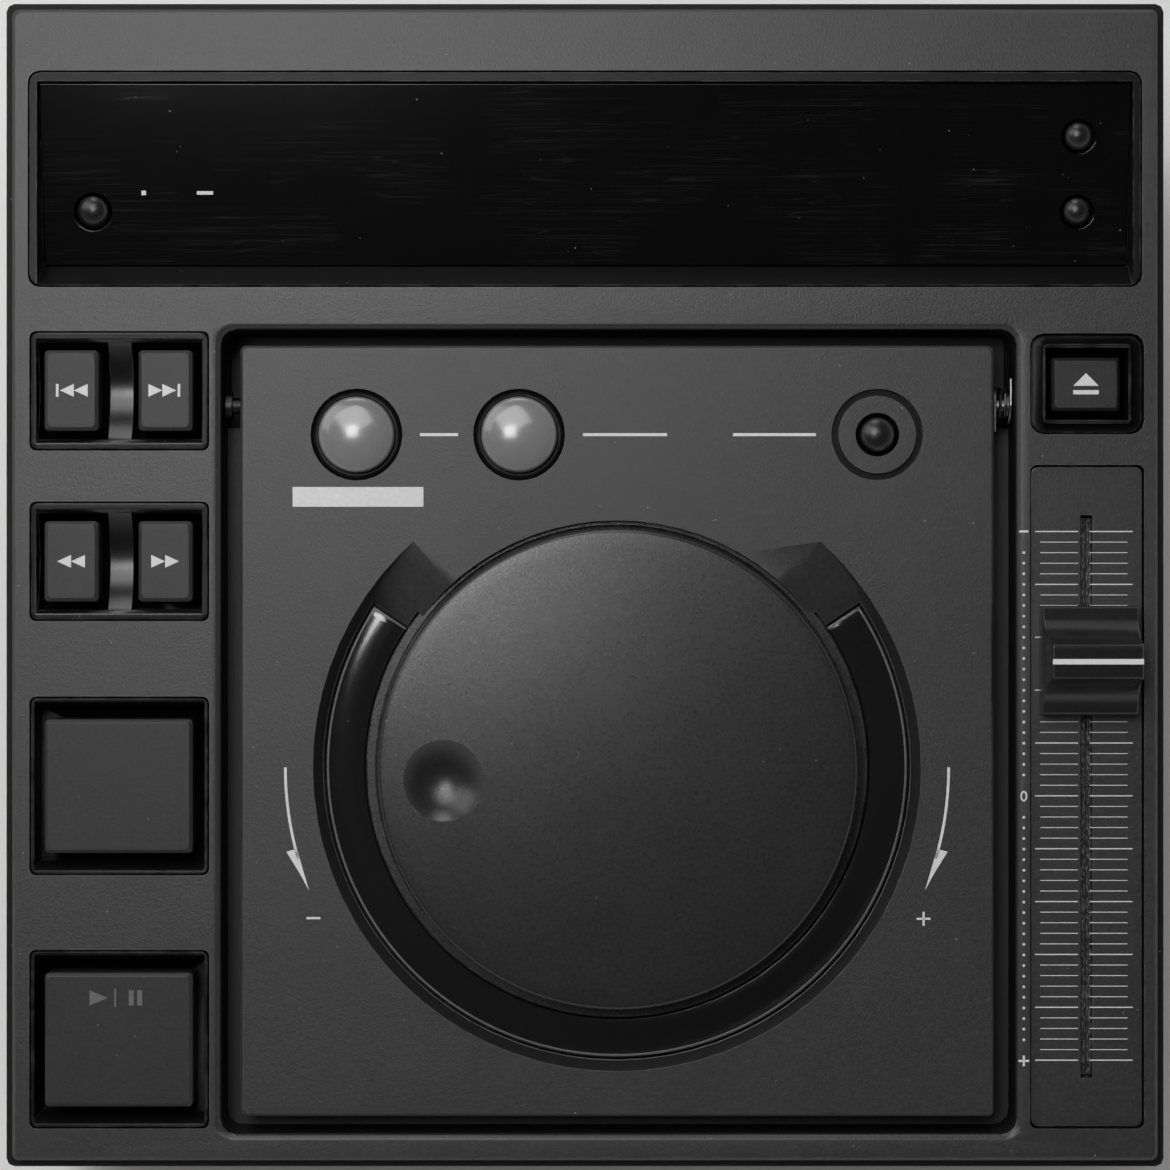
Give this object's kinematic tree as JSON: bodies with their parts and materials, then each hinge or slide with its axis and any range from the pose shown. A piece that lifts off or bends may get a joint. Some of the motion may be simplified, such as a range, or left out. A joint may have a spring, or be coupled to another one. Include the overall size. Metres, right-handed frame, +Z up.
{
  "type": "tabletop disc-jockey cd player",
  "caption": "Tabletop disc player for a disc jockey: sloping panel, lifting lid with a jog dial over the disc works, pitch fader, cue and play keys and a dark display window.",
  "frame": {"origin": "middle of the whole outline on the surface that the player's feet stand on", "axes": "+Z up, +Y towards the rear (the higher edge with the connectors), +X to the right as the player faces its user"},
  "size_m": [0.218, 0.2234, 0.1068],
  "materials": {
    "case_black": "matte",
    "panel_grey": "satin",
    "lid_grey": "satin",
    "bezel_black": "satin",
    "key_grey": "satin",
    "display_glass": "gloss",
    "smoked_window": "gloss",
    "dial_satin": "satin",
    "loop_dome": "gloss",
    "button_dark": "satin",
    "rubber": "matte",
    "steel": "satin",
    "zinc_sheet": "satin",
    "moulding_black": "matte",
    "circuit_board": "satin",
    "nylon_white": "satin"
  },
  "bodies": {
    "case": {"lower_case": "case_black", "foot_front_left": "rubber", "foot_front_right": "rubber", "foot_rear_left": "rubber", "foot_rear_right": "rubber", "case_screw_rear_left": "steel", "case_screw_rear_right": "steel", "case_screw_left": "steel", "case_screw_right": "steel", "top_panel": "panel_grey", "display_bezel": "bezel_black", "display_window": "display_glass", "display_module": "circuit_board", "track_bezel": "bezel_black", "search_bezel": "bezel_black", "cue_bezel": "bezel_black", "play_bezel": "bezel_black", "key_board": "circuit_board", "open_bezel": "bezel_black", "fader_plate": "panel_grey", "fader_housing": "zinc_sheet", "hinge_pin_left": "steel", "hinge_pin_right": "steel", "hinge_spring": "steel", "disc_chamber": "moulding_black", "spindle_motor": "zinc_sheet", "sled_guide_rod": "steel", "sled_motor": "zinc_sheet", "main_board": "circuit_board", "transformer": "zinc_sheet", "rear_panel": "case_black", "power_inlet": "moulding_black", "output_jacks": "moulding_black"},
    "lid": {"lid_panel": "lid_grey", "disc_window": "smoked_window", "lid_underframe": "moulding_black"},
    "jog": {"jog_dial": "dial_satin", "jog_shaft": "steel"},
    "clamper": {"disc_clamper": "nylon_white"},
    "turntable": {"turntable": "moulding_black"},
    "loop_in": {"loop_in_button": "loop_dome"},
    "loop_out": {"loop_out_button": "loop_dome"},
    "reloop": {"reloop_button": "button_dark"},
    "track_back": {"track_back_key": "key_grey"},
    "track_forward": {"track_forward_key": "key_grey"},
    "search_back": {"search_back_key": "key_grey"},
    "search_forward": {"search_forward_key": "key_grey"},
    "cue": {"cue_key": "key_grey"},
    "play": {"play_key": "key_grey"},
    "open": {"open_key": "key_grey"},
    "time": {"time_button": "button_dark"},
    "key_hold": {"key_hold_button": "button_dark"},
    "tempo_range": {"tempo_range_button": "button_dark"},
    "fader": {"fader_lever": "nylon_white", "fader_cap": "bezel_black"},
    "sled": {"laser_sled": "moulding_black"},
    "screw": {"lead_screw": "steel"},
    "crank": {"latch_crank": "zinc_sheet"},
    "slider": {"latch_slider": "zinc_sheet"},
    "rocker": {"power_rocker": "button_dark"}
  },
  "joints": [
    {"name": "lid_hinge", "type": "hinge", "parent": "case", "child": "lid", "pos_m": [0.006, 0.03116, 0.09088], "axis": [-1, 0, 0], "range_deg": [0, 50]},
    {"name": "jog_spin", "type": "hinge", "parent": "lid", "child": "jog", "pos_m": [0.006, -0.03838, 0.09846], "axis": [0, -0.1219, 0.9925], "continuous": true},
    {"name": "turntable_spin", "type": "hinge", "parent": "case", "child": "turntable", "pos_m": [0.006, -0.03453, 0.0671], "axis": [0, -0.1219, 0.9925], "continuous": true},
    {"name": "clamper_spin", "type": "hinge", "parent": "lid", "child": "clamper", "pos_m": [0.006, -0.03607, 0.07961], "axis": [0, -0.1219, 0.9925], "continuous": true},
    {"name": "loop_in_press", "type": "slide", "parent": "lid", "child": "loop_in", "axis": [0, 0.1219, -0.9925], "range_m": [0, 0.001], "stiffness_N_per_m": 500, "springref_m": -0.001},
    {"name": "loop_out_press", "type": "slide", "parent": "lid", "child": "loop_out", "axis": [0, 0.1219, -0.9925], "range_m": [0, 0.001], "stiffness_N_per_m": 500, "springref_m": -0.001},
    {"name": "reloop_press", "type": "slide", "parent": "lid", "child": "reloop", "axis": [0, 0.1219, -0.9925], "range_m": [0, 0.001], "stiffness_N_per_m": 500, "springref_m": -0.001},
    {"name": "track_back_press", "type": "slide", "parent": "case", "child": "track_back", "axis": [0, 0.1219, -0.9925], "range_m": [0, 0.0012], "stiffness_N_per_m": 600, "springref_m": -0.001},
    {"name": "track_forward_press", "type": "slide", "parent": "case", "child": "track_forward", "axis": [0, 0.1219, -0.9925], "range_m": [0, 0.0012], "stiffness_N_per_m": 600, "springref_m": -0.001},
    {"name": "search_back_press", "type": "slide", "parent": "case", "child": "search_back", "axis": [0, 0.1219, -0.9925], "range_m": [0, 0.0012], "stiffness_N_per_m": 600, "springref_m": -0.001},
    {"name": "search_forward_press", "type": "slide", "parent": "case", "child": "search_forward", "axis": [0, 0.1219, -0.9925], "range_m": [0, 0.0012], "stiffness_N_per_m": 600, "springref_m": -0.001},
    {"name": "cue_press", "type": "slide", "parent": "case", "child": "cue", "axis": [0, 0.1219, -0.9925], "range_m": [0, 0.0012], "stiffness_N_per_m": 800, "springref_m": -0.001},
    {"name": "play_press", "type": "slide", "parent": "case", "child": "play", "axis": [0, 0.1219, -0.9925], "range_m": [0, 0.0012], "stiffness_N_per_m": 800, "springref_m": -0.001},
    {"name": "open_press", "type": "slide", "parent": "case", "child": "open", "axis": [0, 0.1219, -0.9925], "range_m": [0, 0.0025], "stiffness_N_per_m": 600, "springref_m": -0.001},
    {"name": "time_press", "type": "slide", "parent": "case", "child": "time", "axis": [0, 0.2583, -0.9661], "range_m": [0, 0.0006], "stiffness_N_per_m": 500, "springref_m": -0.001},
    {"name": "key_hold_press", "type": "slide", "parent": "case", "child": "key_hold", "axis": [0, 0.2583, -0.9661], "range_m": [0, 0.0006], "stiffness_N_per_m": 500, "springref_m": -0.001},
    {"name": "tempo_range_press", "type": "slide", "parent": "case", "child": "tempo_range", "axis": [0, 0.2583, -0.9661], "range_m": [0, 0.0006], "stiffness_N_per_m": 500, "springref_m": -0.001},
    {"name": "fader_slide", "type": "slide", "parent": "case", "child": "fader", "axis": [0, 0.9925, 0.1219], "range_m": [-0.0756, 0.0242]},
    {"name": "sled_slide", "type": "slide", "parent": "case", "child": "sled", "axis": [-1, 0, 0], "range_m": [0, 0.033]},
    {"name": "lead_screw_spin", "type": "hinge", "parent": "case", "child": "screw", "pos_m": [0, -0.01639, 0.05885], "axis": [-1, 0, 0], "range_deg": [0, 3400]},
    {"name": "latch_crank_turn", "type": "hinge", "parent": "case", "child": "crank", "pos_m": [0.0942, 0.02771, 0.07837], "axis": [-1, 0, 0], "range_deg": [0, 16.5]},
    {"name": "latch_slide", "type": "slide", "parent": "case", "child": "slider", "axis": [0, -0.9925, -0.1219], "range_m": [0, 0.0023]},
    {"name": "power_rocker_tilt", "type": "hinge", "parent": "case", "child": "rocker", "pos_m": [-0.0405, 0.10418, 0.0545], "axis": [1, 0, 0], "range_deg": [0, 13]}
  ],
  "couplings": [
    {"joint": "clamper_spin", "follows": "turntable_spin", "ratio": 1},
    {"joint": "lead_screw_spin", "follows": "sled_slide", "rad_per_m": 1795.2},
    {"joint": "latch_crank_turn", "follows": "open_press", "rad_per_m": 113.64},
    {"joint": "latch_slide", "follows": "open_press", "ratio": 0.909}
  ]
}
